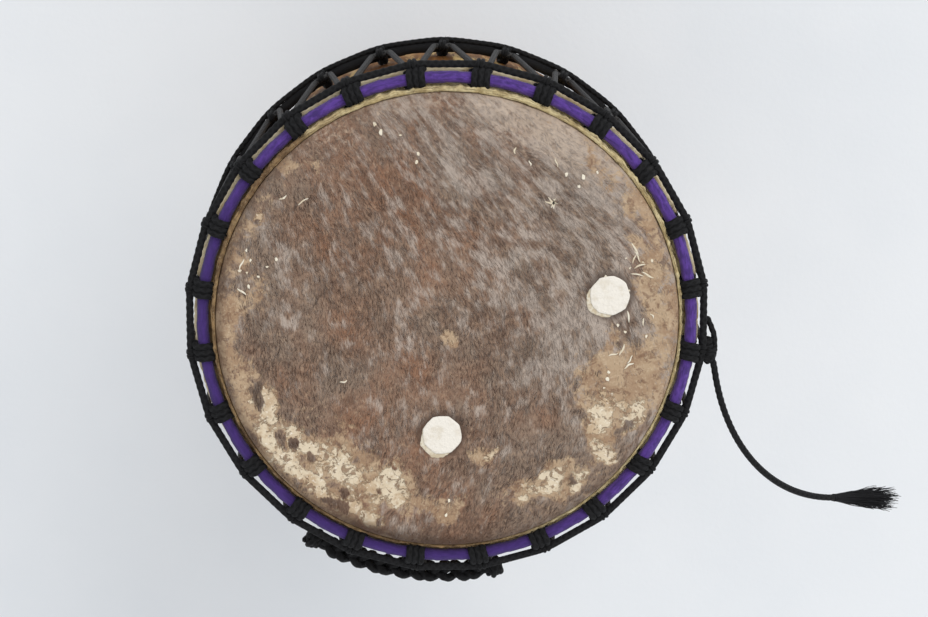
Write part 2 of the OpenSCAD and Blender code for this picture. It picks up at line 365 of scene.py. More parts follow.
class Look:
    """A material's node tree, with short calls for the nodes used here."""

    def __init__(self, name):
        self.material = bpy.data.materials.new(name)
        self.material.use_nodes = True
        self.tree = self.material.node_tree
        self.shader = self.tree.nodes["Principled BSDF"]
        self.place = self.node("TexCoord").outputs["Object"]
        self.along = self.node("UVMap", uv_map="along").outputs["UV"]

    def feed(self, socket, value):
        if isinstance(value, bpy.types.NodeSocket):
            self.tree.links.new(value, socket)
        else:
            socket.default_value = value

    def node(self, kind, inputs=None, **settings):
        made = self.tree.nodes.new("ShaderNode" + kind)
        for key, value in settings.items():
            setattr(made, key, value)
        for key, value in (inputs or {}).items():
            self.feed(made.inputs[key], value)
        return made

    def maths(self, operation, a, b=0.0):
        return self.node("Math", {0: a, 1: b}, operation=operation).outputs[0]

    def plus(self, a, b):
        return self.maths("ADD", a, b)

    def minus(self, a, b):
        return self.maths("SUBTRACT", a, b)

    def times(self, a, b):
        return self.maths("MULTIPLY", a, b)

    def noise(self, vector, scale, detail=4.0, rough=0.55, warp=0.0):
        inputs = {"Vector": vector, "Scale": scale, "Detail": detail, "Roughness": rough, "Distortion": warp}
        return self.node("TexNoise", inputs).outputs[0]

    def stretched(self, vector, scales, detail=4.0, rough=0.55, warp=0.0):
        """Noise with its own scale along each axis."""
        scaled = self.node("VectorMath", {0: vector, 1: scales}, operation="MULTIPLY").outputs[0]
        return self.noise(scaled, 1.0, detail, rough, warp)

    def step(self, value, low, high, to_low=0.0, to_high=1.0):
        inputs = {"Value": value, "From Min": low, "From Max": high, "To Min": to_low, "To Max": to_high}
        return self.node("MapRange", inputs, interpolation_type="SMOOTHSTEP").outputs[0]

    def mix(self, share, a, b):
        """Mixes two colours, each a socket or the three numbers of a screen colour."""
        a, b = (srgb(*c) if isinstance(c, tuple) else c for c in (a, b))
        return self.node("Mix", {0: share, 6: a, 7: b}, data_type="RGBA").outputs[2]

    def stain(self, colour, value, low, high, share, other):
        """Turns a colour by a share towards another one as value goes from low to high."""
        return self.mix(self.step(value, low, high, 0.0, share), colour, other)

    def value(self, name):
        return self.node("Attribute", attribute_name=name).outputs["Fac"]

    def finish(self, colour, rough, height, depth, sheen=0.0, **more):
        """Feeds the shader. Depth is the bump's height in millimetres.

        Rough is a number, a socket, or a noise with the roughness where it is low and where it is high.
        """
        if isinstance(rough, tuple):
            rough = self.step(rough[0], 0.3, 0.7, *rough[1:])
        bump = self.node("Bump", {"Height": height, "Strength": 1.0, "Distance": depth * MM}).outputs[0]
        inputs = {"Base Color": colour, "Roughness": rough, "Normal": bump, "Sheen Weight": sheen}
        for key, value in {**inputs, **more}.items():
            self.feed(self.shader.inputs[key.replace("_", " ")], value)
        return self.material


def cord_look(name, dark, light):
    k = Look(name)
    parts = k.node("SeparateXYZ", {0: k.along})
    u, v = parts.outputs[0], k.times(parts.outputs[1], 3.0)
    one = k.maths("COSINE", k.times(k.plus(v, u), TURN))
    two = k.maths("COSINE", k.times(k.minus(v, u), TURN))
    strand = k.maths("MAXIMUM", one, two)
    fibre = k.stretched(k.along, (40.0, 22.0, 1.0), 3.0)
    dust = k.noise(k.place, 90.0, 4.0)
    height = k.plus(k.times(strand, 0.6), fibre)
    # Lighter on the raised strands and darker in the grooves between them: painted shade on a cord of one
    # black.
    colour = k.mix(k.step(strand, -0.4, 1.0), dark, light)
    colour = k.stain(colour, fibre, 0.5, 0.75, 0.35, (46, 45, 48))
    colour = k.stain(colour, dust, 0.64, 0.8, 0.25, (66, 63, 60))
    return k.finish(colour, (fibre, 0.65, 0.9), height, 0.16, 0.02, Specular_IOR_Level=0.22)


def cloth_look(name, dark, mid, light, sheen):
    k = Look(name)
    thread = 0.7
    places = k.node("SeparateXYZ", {0: k.along}).outputs
    warp = k.maths("SINE", k.times(places[0], TURN / thread))
    weft = k.maths("SINE", k.times(places[1], TURN / thread))
    threads = k.times(warp, weft)
    fold = k.stretched(k.along, (0.12, 0.5, 1.0), 4.0, 0.6, 0.6)
    wear = k.noise(k.place, 240.0, 5.0, 0.6)
    fuzz = k.noise(k.place, 1100.0, 3.0)
    # Darker in the hollows of the folds, where the bump is low: painted shade.
    colour = k.mix(k.step(fold, 0.3, 0.7), dark, mid)
    colour = k.stain(colour, wear, 0.50, 0.75, 0.45, light)
    # Lighter on the raised threads: painted highlight.
    colour = k.stain(colour, threads, 0.2, 1.0, 0.25, light)
    # The cloth turns towards its dark colour at the lower left: painted shade.
    colour = k.mix(k.times(k.value("lower_left_shade"), 0.75), colour, dark)
    height = k.plus(k.times(threads, 0.15), k.plus(fold, k.times(fuzz, 0.3)))
    return k.finish(colour, (wear, 0.7, 0.9), height, 0.4, sheen, Specular_IOR_Level=0.2)


def bare_hide_look(name, dark, mid, light):
    k = Look(name)
    blotch = k.noise(k.place, 55.0, 6.0, 0.65, 0.4)
    grain = k.noise(k.place, 600.0, 4.0, 0.6)
    crease = k.stretched(k.place, (60.0, 60.0, 220.0), 4.0, 0.6, 0.8)
    colour = k.mix(k.step(blotch, 0.36, 0.56), mid, light)
    colour = k.stain(colour, crease, 0.52, 0.72, 0.8, dark)
    colour = k.stain(colour, grain, 0.55, 0.75, 0.4, mid)
    height = k.plus(crease, k.times(grain, 0.4))
    return k.finish(colour, (grain, 0.55, 0.8), height, 0.6, Specular_IOR_Level=0.3)


def collar_look():
    """The cut edge: layered fibres that run along it, khaki where pale, brown with orange spots down the left
    and underneath, where the brown is painted shade.
    """
    k = Look("hide_collar")
    left_shade = k.value("left_shade")
    layer = k.stretched(k.along, (24.0, 80.0, 1.0), 5.0, 0.65, 0.5)
    blotch = k.noise(k.place, 75.0, 5.0, 0.6, 0.4)
    grain = k.noise(k.place, 900.0, 4.0, 0.65)
    pale = k.mix(k.step(blotch, 0.38, 0.62), (188, 168, 122), (212, 197, 154))
    shaded_brown = k.mix(k.step(blotch, 0.40, 0.60), (116, 92, 66), (158, 130, 92))
    shaded_brown = k.stain(shaded_brown, grain, 0.60, 0.72, 0.5, (186, 124, 70))
    # Brown down the left and underneath, away from the light: painted shade.
    colour = k.mix(k.step(left_shade, 0.25, 0.7), pale, shaded_brown)
    colour = k.stain(colour, layer, 0.50, 0.62, 0.8, (92, 68, 44))
    colour = k.stain(colour, grain, 0.45, 0.28, 0.35, (226, 212, 174))
    height = k.plus(layer, k.times(grain, 0.6))
    return k.finish(colour, (grain, 0.6, 0.85), height, 0.5, Specular_IOR_Level=0.25)


def head_look():
    k = Look("hide_head")
    bare, thin, dark = k.value("bare"), k.value("thin"), k.value("dark")
    red, frost, rim, pale = k.value("red"), k.value("frost"), k.value("rim"), k.value("pale")
    streak = k.stretched(k.along, (0.80, 0.14, 1.0), 5.0, 0.62, 0.3)
    fine = k.stretched(k.along, (2.6, 0.30, 1.0), 3.0, 0.65)
    blotch = k.noise(k.place, 60.0, 6.0, 0.62, 0.5)
    ragged = k.noise(k.place, 240.0, 6.0, 0.68, 0.4)
    speck = k.noise(k.place, 620.0, 4.0, 0.6)
    hair = k.mix(red, (140, 120, 104), (144, 106, 82))
    hair = k.stain(hair, blotch, 0.50, 0.64, 0.55, (102, 78, 64))
    hair = k.stain(hair, ragged, 0.50, 0.66, 0.45, (178, 150, 126))
    hair = k.stain(hair, ragged, 0.48, 0.34, 0.50, (96, 70, 56))
    tuft = k.step(k.plus(frost, streak), 0.72, 1.30, 0.0, 0.72)
    hair = k.mix(tuft, hair, (194, 181, 170))
    hair = k.stain(hair, streak, 0.48, 0.30, 0.45, (92, 68, 56))
    hair = k.stain(hair, fine, 0.55, 0.72, 0.3, (206, 192, 178))
    hair = k.stain(hair, fine, 0.45, 0.28, 0.25, (88, 68, 56))
    wobble = k.times(k.minus(ragged, 0.5), 1.9)
    island = k.noise(k.place, 150.0, 6.0, 0.70, 0.8)
    pale_share = k.step(k.plus(pale, wobble), 0.40, 1.05, 0.0, 0.75)
    hair = k.mix(pale_share, hair, (200, 181, 163))
    thin_share = k.step(k.plus(thin, wobble), 0.28, 0.66)
    tan = k.mix(k.step(blotch, 0.42, 0.60), (190, 164, 134), (166, 136, 108))
    tan = k.stain(tan, island, 0.52, 0.60, 0.75, (126, 96, 74))
    tan = k.stain(tan, speck, 0.52, 0.70, 0.5, (212, 192, 164))
    skin = k.mix(k.times(thin_share, 0.92), hair, tan)
    bare_share = k.step(k.plus(bare, wobble), 0.44, 0.58)
    bare_share = k.times(bare_share, k.step(island, 0.60, 0.54, 0.12, 1.0))
    cream = k.mix(k.step(blotch, 0.44, 0.58), (218, 202, 176), (192, 168, 138))
    cream = k.stain(cream, ragged, 0.56, 0.68, 0.7, (170, 140, 110))
    cream = k.stain(cream, speck, 0.58, 0.70, 0.8, (240, 232, 218))
    cream = k.stain(cream, fine, 0.60, 0.75, 0.3, (150, 118, 90))
    skin = k.mix(bare_share, skin, cream)
    # Darker islands, dark rings round the patches and painted shade along the lower edge.
    skin = k.mix(k.times(dark, 0.8), skin, (62, 46, 38))
    # Painted shade at the rim, strongest at the lower left.
    skin = k.mix(k.times(rim, k.step(blotch, 0.3, 0.6, 0.4, 1.0)), skin, (84, 62, 46))
    pelt = k.plus(k.times(streak, 1.2), fine)
    pelt = k.times(pelt, k.minus(1.0, k.times(bare_share, 0.85)))
    height = k.plus(pelt, k.times(speck, 0.35))
    rough = k.step(bare_share, 0.0, 1.0, 0.68, 0.58)
    return k.finish(skin, rough, height, 0.42, Specular_IOR_Level=0.3)


def hair_look():
    k = Look("hide_hair")
    tint, red = k.value("tint"), k.value("red")
    colour = k.mix(tint, (84, 61, 49), (212, 200, 190))
    colour = k.mix(k.times(red, 0.42), colour, (140, 102, 78))
    fleck = k.noise(k.place, 900.0, 2.0)
    colour = k.stain(colour, fleck, 0.55, 0.7, 0.3, (204, 194, 182))
    return k.finish(colour, (fleck, 0.5, 0.7), fleck, 0.05, Specular_IOR_Level=0.3)


def wood_look():
    k = Look("shell_wood")
    grain = k.stretched(k.place, (150.0, 150.0, 5.0), 6.0, 0.6, 0.6)
    bands = k.stretched(k.place, (22.0, 22.0, 1.6), 4.0, 0.5, 1.4)
    pores = k.stretched(k.place, (900.0, 900.0, 26.0), 3.0, 0.6)
    stain = k.noise(k.place, 16.0, 5.0, 0.65, 0.6)
    # The browns are kept dark partly to stand in for the ropes' shade: painted shade.
    colour = k.mix(k.step(bands, 0.35, 0.65), (104, 68, 30), (166, 112, 46))
    colour = k.stain(colour, grain, 0.48, 0.68, 0.7, (104, 64, 32))
    colour = k.stain(colour, stain, 0.50, 0.68, 0.6, (98, 60, 32))
    # Between the rings: pale cream blots, partly painted reflection of the bright surroundings, and dark
    # blots, partly painted shade from the ropes; the rest is the shell's own mottling.
    blot = k.stretched(k.place, (62.0, 62.0, 12.0), 5.0, 0.62, 0.9)
    height_on_drum = k.node("SeparateXYZ", {0: k.place}).outputs[2]
    between_rings = k.step(height_on_drum, (lower_z - 45) * MM, (lower_z + 5) * MM, 0.2, 1.0)
    dark_share = k.times(between_rings, k.step(blot, 0.50, 0.40, 0.0, 0.65))
    pale_share = k.times(between_rings, k.step(blot, 0.52, 0.60, 0.0, 0.8))
    colour = k.mix(pale_share, k.mix(dark_share, colour, (84, 50, 20)), (214, 184, 122))
    colour = k.stain(colour, pores, 0.60, 0.75, 0.7, (62, 38, 22))
    height = k.minus(grain, k.times(k.step(pores, 0.58, 0.75), 0.8))
    pale = k.stretched(k.place, (40.0, 40.0, 12.0), 5.0, 0.6, 0.5)
    colour = k.stain(colour, pale, 0.58, 0.70, 0.7, (200, 178, 142))
    return k.finish(colour, (stain, 0.6, 0.8), height, 0.45, Specular_IOR_Level=0.2)


def steel_look():
    k = Look("ring_steel")
    brushed = k.stretched(k.place, (60.0, 60.0, 2400.0), 4.0)
    rust = k.noise(k.place, 70.0, 5.0, 0.65)
    colour = k.mix(k.step(rust, 0.55, 0.70, 0.0, 0.7), (168, 168, 170), (118, 74, 48))
    return k.finish(colour, (brushed, 0.3, 0.5), brushed, 0.05, Metallic=0.9)


def patch_look():
    k = Look("patch_white")
    felt = k.noise(k.place, 900.0, 4.0, 0.65)
    dirt = k.noise(k.place, 130.0, 5.0, 0.6)
    pits = k.node("TexVoronoi", {"Vector": k.place, "Scale": 520.0}).outputs["Distance"]
    colour = k.mix(k.step(dirt, 0.46, 0.72, 0.0, 0.6), (238, 232, 222), (214, 203, 184))
    colour = k.stain(colour, felt, 0.56, 0.75, 0.4, (205, 197, 182))
    height = k.plus(felt, k.times(pits, 0.8))
    return k.finish(colour, (felt, 0.7, 0.9), height, 0.35)


def glue_look():
    k = Look("old_glue")
    lumps = k.noise(k.place, 260.0, 4.0, 0.6, 0.5)
    colour = k.mix(k.step(lumps, 0.38, 0.62), (196, 180, 152), (222, 213, 194))
    return k.finish(colour, (lumps, 0.35, 0.6), lumps, 0.4, Coat_Weight=0.2)


def floor_look():
    k = Look("floor_pale")
    soft = k.noise(k.place, 3.0, 4.0)
    colour = k.mix(k.step(soft, 0.3, 0.7), (225, 229, 234), (232, 235, 239))
    return k.finish(colour, 0.9, k.noise(k.place, 160.0, 3.0), 0.2)


HIDE = head_look()
HAIR = hair_look()
BARE = bare_hide_look("hide_bare", (122, 96, 62), (186, 164, 126), (214, 200, 168))
COLLAR = collar_look()
FLECK = bare_hide_look("hide_fleck", (196, 176, 146), (222, 208, 182), (236, 228, 210))
WOOD = wood_look()
STEEL = steel_look()
PURPLE = cloth_look("crown_cloth", (58, 38, 100), (94, 62, 152), (122, 90, 182), 0.2)
BLACK = cloth_look("lower_cloth", (14, 14, 15), (24, 23, 25), (40, 39, 41), 0.02)
CORD = cord_look("cord", (8, 8, 9), (23, 23, 25))
# The tuning rope is lighter than the loops, partly from wear and fuzz, partly painted light where it is lit
# from above.
WORN_AND_LIT_CORD = cord_look("cord_worn_and_lit", (30, 30, 31), (66, 65, 65))
FRAYED = cord_look("frayed_cord", (9, 9, 11), (25, 25, 29))
PATCH = patch_look()
GLUE = glue_look()
for name in ("flesh_ring", "crown_ring", "lower_ring"):
    data = nodes[name].data
    data.materials.clear()
    data.materials.append(STEEL)


# ---------------------------------------------------------------- marks on the head

def slope(x, y):
    """How far the hair leans towards +X for each step towards -Y."""
    u, v = x / head_r, y / head_r
    return 0.27 + 0.15 * u + 0.68 * v + 0.63 * u * v


def flow(x, y):
    """Coordinates that run with the hair, the first constant along each line of hair."""
    steps = 20
    px, py = x.copy(), y.copy()
    for _ in range(steps):
        px = px + slope(px, py) * y / steps
        py = py - y / steps
    return np.stack([px, y], -1)


def areas(r, a, places):
    """The strongest of some soft areas, each one half at its edge.

    An area is its direction from the centre, its distance from it, its half length round the drum and its
    half width towards the centre. Directions are in degrees, the rest in shares of the head's radius.
    """
    best = np.zeros_like(r)
    for direction, distance, half_long, half_wide in places:
        along = np.radians((a - direction + 180) % 360 - 180) * distance / half_long
        best = np.maximum(best, np.exp2(-(along**2) - ((r - distance) / half_wide) ** 2))
    return best


BARE_AREAS = [
    (205, 0.85, 0.08, 0.04), (220, 0.82, 0.08, 0.05), (235, 0.80, 0.12, 0.07), (250, 0.78, 0.07, 0.09),
    (330, 0.80, 0.06, 0.06), (335, 0.92, 0.07, 0.05), (320, 0.90, 0.05, 0.04),
    (310, 0.92, 0.06, 0.03), (300, 0.85, 0.08, 0.025), (290, 0.60, 0.03, 0.02), (150, 0.95, 0.02, 0.02),
]
THIN_AREAS = [
    (340, 0.85, 0.18, 0.16), (350, 0.72, 0.08, 0.05), (325, 0.88, 0.12, 0.06), (5, 0.90, 0.12, 0.05),
    (235, 0.78, 0.28, 0.12), (205, 0.88, 0.15, 0.07), (265, 0.82, 0.10, 0.05), (300, 0.86, 0.16, 0.05),
    (170, 0.86, 0.07, 0.07), (150, 0.94, 0.05, 0.05), (130, 0.92, 0.08, 0.05), (25, 0.86, 0.04, 0.04),
    (285, 0.60, 0.04, 0.03), (280, 0.05, 0.03, 0.03),
]
PATCHES = ("patch_side", "patch_lower")
patch_places = [(centre_mm(n)[:2], (box_mm(n)[1] - box_mm(n)[0])[0] / 2) for n in PATCHES]


def hump(x, middle, half):
    """One at the middle and one half at a distance of half to each side."""
    return np.exp2(-(((x - middle) / half) ** 2))


def head_values(points):
    """What the hide is like at each point: how much of each quality, from about 0 to 1."""
    x, y = points[:, 0], points[:, 1]
    at = np.stack([x, y, 0 * x], -1)
    line = flow(x, y) * (1.0, 0.6)
    line = np.stack([line[:, 0], line[:, 1], 0 * x], -1)
    # Places in units, warped so that the areas get uneven outlines
    ux = (x + 5.0 * rough_noise(at, 26.0, 13) + 2.0 * rough_noise(at, 6.0, 18, 3)) / UNIT
    uy = (y + 5.0 * rough_noise(at, 26.0, 23) + 2.0 * rough_noise(at, 6.0, 28, 3)) / UNIT
    warped_r, warped_a = np.hypot(ux, uy) * UNIT / head_r, np.degrees(np.arctan2(uy, ux))
    r = np.hypot(x, y) / UNIT
    a = np.degrees(np.arctan2(y, x)) % 360
    wobble = rough_noise(at, 22.0, 11)
    rag = rough_noise(at, 9.0, 15)
    mottle = rough_noise(line, 4.2, 27)
    clump = rough_noise(line, 12.0, 37, 3)
    patch = rough_noise(at, 34.0, 67)
    # Bare skin, with a crescent near the lower left rim and dark islands of hair
    crescent = hump(r + 3 * wobble, 150, 5.5) * smooth_step(a, 201, 212) * smooth_step(a, 256, 246)
    bare = np.maximum(areas(warped_r, warped_a, BARE_AREAS), crescent)
    dark = smooth_step(rough_noise(at, 12.0, 78, 2), 0.42, 0.72) * smooth_step(bare, 0.2, 0.5)
    bare = (bare + 0.42 * rag * smooth_step(bare, 0.05, 0.3)) * (1 - smooth_step(dark, 0.35, 0.6))
    # Thin hair, also along both sides of the rim
    sides = np.maximum(hump((a + 180) % 360 - 180, 6, 40), hump(a, 190, 50))
    fuller_right = 0.62 + 0.5 * smooth_step(ux - 0.8 * uy, -70, 90)
    thin = areas(warped_r, warped_a, THIN_AREAS) * fuller_right
    thin = np.maximum(thin, smooth_step(r, 130, 154) * sides * 0.7)
    thin = thin + 0.35 * rough_noise(at, 14.0, 35) * smooth_step(thin, 0.05, 0.3)
    thin = np.maximum(thin, smooth_step(bare, 0.1, 0.5) * 0.8) * (1 - 0.6 * smooth_step(dark, 0.35, 0.6))
    # Red hair down the left, hair frosted with white on the upper right, pale hair along the top of the rim
    red = 0.7 * hump(ux + 0.12 * uy, -34, 70) + 0.3 * clump + 0.4 * patch - 0.1
    grey = smooth_step(ux + 0.45 * uy + 10 * wobble, -40, 90) * smooth_step(uy, -140, -30)
    grey = np.maximum(grey, 0.7 * np.exp2(-np.hypot(ux + 20, uy - 62) / 40))
    frost = 0.16 + 0.36 * grey + 0.34 * mottle + 0.18 * clump - 0.12 * patch
    pale = hump(a, 62, 28) * smooth_step(r, 112, 152)
    pale = np.maximum(pale, 0.6 * hump(a, 98, 22) * smooth_step(r, 138, 155))
    pale = np.maximum(pale, 0.55 * hump(a, 122, 12) * smooth_step(r, 128, 150))
    # Painted shade at the rim, strongest at the lower left, and along the lower edge; darker islands in the
    # bare skin, and dark rings round the patches
    rim = smooth_step(r, 153.5, 158.5) * (0.08 + 0.5 * smooth_step(-(x + y) / UNIT, -60, 120))
    # Painted shade along the lower edge, away from the light.
    edge_shade = hump(r, 157.5, 5) * smooth_step(a, 232, 246) * smooth_step(a, 290, 266)
    dark_marks_and_shade = np.maximum(0.6 * dark, 0.85 * edge_shade)
    for (px, py), pr in patch_places:
        away = np.hypot(x - px, y - py) + 1.2 * wobble
        dark_marks_and_shade = np.maximum(dark_marks_and_shade, 0.85 * smooth_step(away, pr + 5.5, pr + 0.5))
    red, frost = np.clip(red, 0, 1), np.clip(frost, 0, 1)
    return {"bare": bare, "thin": thin, "dark": dark_marks_and_shade, "red": red, "frost": frost, "pale": pale, "rim": rim}


def head_height(r):
    """Height of the playing surface, which rounds over at its edge."""
    past = np.clip((r - (head_r - edge_r)) * edge_r / (edge_r + SWELL), 0, edge_r)
    return head_z - edge_r + np.sqrt(np.maximum(edge_r**2 - past**2, 0))


def fade(r):
    """From zero on the flat of the head to one near its edge, where the surface is even."""
    return smooth_step(r, head_r - 12, head_r - 4)


# ---------------------------------------------------------------- hide

def make_head():
    """The hide's outside from the middle down to the end of its skirt, then its inside back to the middle."""
    flat, level = head_r - edge_r, head_z - edge_r
    skirt_low = flesh_z - flesh_tube - hide_t
    inner_edge = edge_r - hide_t
    spokes, flat_rows = 540, 136
    turn = np.radians(np.linspace(0, 90, 12))[1:]
    back = turn[::-2]
    skirt = np.linspace(level, skirt_low, 9)[1:]
    tuck = head_r + SWELL * smooth_step(skirt, level - 4, level)
    outside_r = [np.linspace(1, flat, flat_rows), flat + (edge_r + SWELL) * np.sin(turn), tuck]
    outside_z = [np.full(flat_rows, head_z), level + edge_r * np.cos(turn), skirt]
    inside_r = [np.full(3, head_r - hide_t), flat + inner_edge * np.sin(back), np.linspace(flat, 1, 8)]
    inside_z = [np.linspace(skirt_low, level - 1, 3), level + inner_edge * np.cos(back)]
    inside_z.append(np.full(8, head_z - hide_t))
    rs, zs = np.concatenate(outside_r + inside_r), np.concatenate(outside_z + inside_z)
    a = 360 * np.arange(spokes) / spokes
    points = polar(rs[:, None], a[None, :], zs[:, None])
    flat_points = points.reshape(-1, 3)
    # The flat of the playing surface is slightly uneven
    outer = np.arange(len(rs)) < sum(map(len, outside_r))
    level_points = flat_points * (1, 1, 0)
    lift = rough_noise(level_points, 26.0, 3) * 0.28 + rough_noise(level_points, 6.0, 5, 3) * 0.07
    keep = np.repeat(outer, spokes) * (1 - fade(reach(flat_points)))
    flat_points[:, 2] += np.minimum(lift, 0.3) * keep - 0.25 * keep
    part = capped(points)
    along_hair = flow(part[0][:, 0], part[0][:, 1])
    part[2] = [along_hair[faces.ravel()] for faces in part[1]]
    build("hide_head", part, HIDE, values=head_values(part[0]), replaces="head_skin")


def make_hair():
    """Short blades of hair that lie along the hide, fewer where it is thin and none where it is bare."""
    count = 56000
    r = (head_r + SWELL - 0.6) * np.sqrt(rng.random(count))
    a = rng.random(count) * TURN
    root = np.stack([r * np.cos(a), r * np.sin(a), np.zeros(count)], -1)
    values = head_values(root)
    cover = 1 - smooth_step(values["bare"] + 0.2 * noise(root, 3.0, 21), 0.3, 0.6)
    cover = cover * (1 - 0.95 * smooth_step(values["thin"] + 0.3 * noise(root, 4.0, 22), 0.25, 0.6))
    cover = cover * (1 - 0.3 * smooth_step(values["pale"], 0.4, 1.0))
    for (px, py), pr in patch_places:
        cover = cover * (np.hypot(root[:, 0] - px, root[:, 1] - py) > pr + 3.5)
    root = root[rng.random(count) < cover]
    n = len(root)
    lean = np.arctan(slope(root[:, 0], root[:, 1])) + rng.normal(0, 0.24, n) + 0.4 * noise(root, 10.0, 31)
    shorter = 0.5 * smooth_step(reach(root), head_r - 12, head_r - 2)
    length = rng.uniform(2.4, 5.2, n) * (1 - shorter)
    tip = root + np.stack([np.sin(lean) * length, -np.cos(lean) * length, np.zeros(n)], -1)
    inside = reach(tip) < head_r + SWELL + 0.2
    root, tip, lean = root[inside], tip[inside], lean[inside]
    n = len(root)
    # Blades near the rim are lifted, since a straight blade would cut through the rounded edge
    root_r, tip_r = reach(root), reach(tip)
    lift = 0.35 * smooth_step(root_r, head_r - 12, head_r - 7)
    root[:, 2] = head_height(root_r) - 0.25 + lift
    tip[:, 2] = head_height(tip_r) + rng.uniform(0.1, 0.5, n) + lift
    side = np.stack([np.cos(lean), np.sin(lean), np.zeros(n)], -1)
    part = spindles(root, tip, rng.uniform(0.14, 0.30, n), side)
    zone = head_values(root)
    # Hair is darker on the dark islands, and where the hide gets painted shade at the rim and lower edge.
    tint = 0.08 + 0.75 * zone["frost"] + 0.3 * zone["pale"] - 0.3 * zone["dark"] - 0.15 * zone["rim"]
    tint = np.clip(tint + rng.normal(0, 0.15, n), 0, 1)
    points_each = len(part[0]) // n
    values = {"tint": np.tile(tint, points_each), "red": np.tile(zone["red"], points_each)}
    build("hide_hair", part, HAIR, values=values)


def collar_line(a):
    """Inner radius, width and top height of the trimmed edge, widest over the top, nearly shut underneath."""
    at = polar(head_r, a, 0.0)
    over = smooth_step(np.sin(np.radians(a + 15)), -0.7, 0.5)
    inner = head_r + SWELL + 0.1 + 0.3 * np.abs(rough_noise(at, 14.0, 46, 3)) * (0.3 + over)
    wide = 1.9 + 1.9 * smooth_step(np.cos(np.radians(a - 98)), -0.25, 0.75)
    lip = head_z - 6.3 - 1.3 * (1 - over) + 0.9 * rough_noise(at, 7.0, 41, 4) + 0.7 * noise(at, 60.0, 45)
    return inner, wide, np.minimum(lip, head_z - 4.2)


def make_collar():
    """The trimmed edge of the hide, standing on the fold between the head and the crown ring."""
    count = 1800
    a = 360 * np.arange(count) / count
    inner, wide, lip = collar_line(a)
    ragged = rough_noise(polar(head_r, a, 0.0), 4.5, 48, 4)
    outer = inner + wide * (1 + 0.28 * ragged)
    fold_top = flesh_z + flesh_tube + hide_t
    rows = [
        (head_r - 0.3, fold_top - 1.6), (inner - 0.1, fold_top), (inner, lip - 0.9), (inner + 0.2, lip - 0.2),
        (inner * 0.6 + outer * 0.4, lip), (outer - 0.4, lip - 0.3), (outer, lip - 1.0),
        (outer - 0.2, lip - 3.0), (outer - 0.4, fold_top + 1.0), (outer + 0.8, fold_top + 0.3),
        (flesh_r, fold_top + 0.15), (flesh_r, fold_top - 1.6),
    ]
    points = np.stack([polar(r, a, z) for r, z in rows])
    part = grid(points, True, True)
    part[0] += (0, 0, 0.5) * rough_noise(part[0] * (1, 1, 0.3), 3.2, 51, 2)[:, None]
    build("hide_collar", part, COLLAR, values={"left_shade": collar_left_shade(part[0])})


def collar_left_shade(points):
    """How much painted shade the collar gets: pale over the top and right, brown down the left and
    underneath, away from the light.
    """
    a = np.degrees(np.arctan2(points[:, 1], points[:, 0]))
    brown = smooth_step(np.cos(np.radians(a - 205)), -0.35, 0.55)
    return np.clip(brown * 0.85 + 0.25 * rough_noise(points * (1, 1, 0), 24.0, 53, 3), 0, 1)


def make_wrap():
    """The hide wrapped round the flesh ring, gathered into pleats."""

    def tube(a, b):
        at = np.stack([np.cos(a) * flesh_r, np.sin(a) * flesh_r, 0 * a], -1).reshape(-1, 3)
        pleat = np.abs(noise(at, 5.5, 61)).reshape(a.shape)
        lump = rough_noise(at, 22.0, 62).reshape(a.shape)
        return flesh_tube + hide_t + 0.15 - 0.75 * (1 - pleat) ** 4 + 0.25 * lump

    build("hide_wrap", torus(flesh_r, flesh_z, tube, 1400, 20), BARE)


# ---------------------------------------------------------------- cloth on the rings

def make_cloth(which, ring_r, ring_z, tube_r, material, wraps, seed):
    """A strip of cloth wound round a ring, each turn stepping up over the one before."""
    lap = 0.08

    def tube(a, b):
        at = np.stack([np.cos(a) * ring_r, np.sin(a) * ring_r, 6 * np.sin(b)], -1).reshape(-1, 3)
        edge = (a / TURN * wraps + b / TURN) % 1
        step = np.where(edge < lap, edge / lap, 1 - 0.75 * (edge - lap) / (1 - lap))
        crumple = rough_noise(at, 9.0, seed, 4).reshape(a.shape)
        return tube_r + 0.45 * (step - 0.5) + 0.28 * crumple

    part = torus(ring_r, ring_z, tube, 1600, 22)
    a = np.degrees(np.arctan2(part[0][:, 1], part[0][:, 0]))
    # Darker towards the lower left, away from the light: painted shade on the cloth.
    lower_left_shade = smooth_step(np.cos(np.radians(a - 222)), -0.35, 0.6) + 0.2 * noise(part[0], 12.0, seed + 5)
    name, values = which + "_cloth", {"lower_left_shade": np.clip(lower_left_shade, 0, 1)}
    build(name + "_wrap", part, material, values=values, replaces=which + "_ring_cloth")


# ---------------------------------------------------------------- ropes

def ring_knots(ring_r, ring_z, turns, cord_r, wind_r, phase):
    """Turns of cord wound side by side over a ring, each knot a little different."""
    parts = []
    for k in range(LOOPS):
        middle = math.radians(loop_step * k + phase)
        half = turns * TURN_SHARE * cord_r * 0.94 / 2
        lean = rng.normal(0, 0.5)
        path = []
        for s in np.linspace(0, 1, 22 * turns):
            phi = TURN * turns * s - 0.6
            a = middle + ((2 * s - 1) * half + lean * math.cos(phi) + 0.7 * math.sin(2 * phi)) / ring_r
            r = ring_r + wind_r * math.cos(phi)
            path.append((r * math.cos(a), r * math.sin(a), ring_z + wind_r * math.sin(phi)))
        parts.append(rope(path, cord_r * 1.14, passes=3))
    return parts


def polygon_run(corner_r, z, half):
    """Straight runs of cord from knot to knot, turning at the knots."""
    path = []
    for k in range(LOOPS):
        for side in (-half, half):
            path.append(beside(corner_r, loop_step * (k + 0.5), z + rng.normal(0, 0.15), side))
    return path


def beside(r, degrees, z, side):
    """A place at a direction round the drum, moved sideways along the ring."""
    a = math.radians(degrees)
    return (r * math.cos(a) - side * math.sin(a), r * math.sin(a) + side * math.cos(a), z)


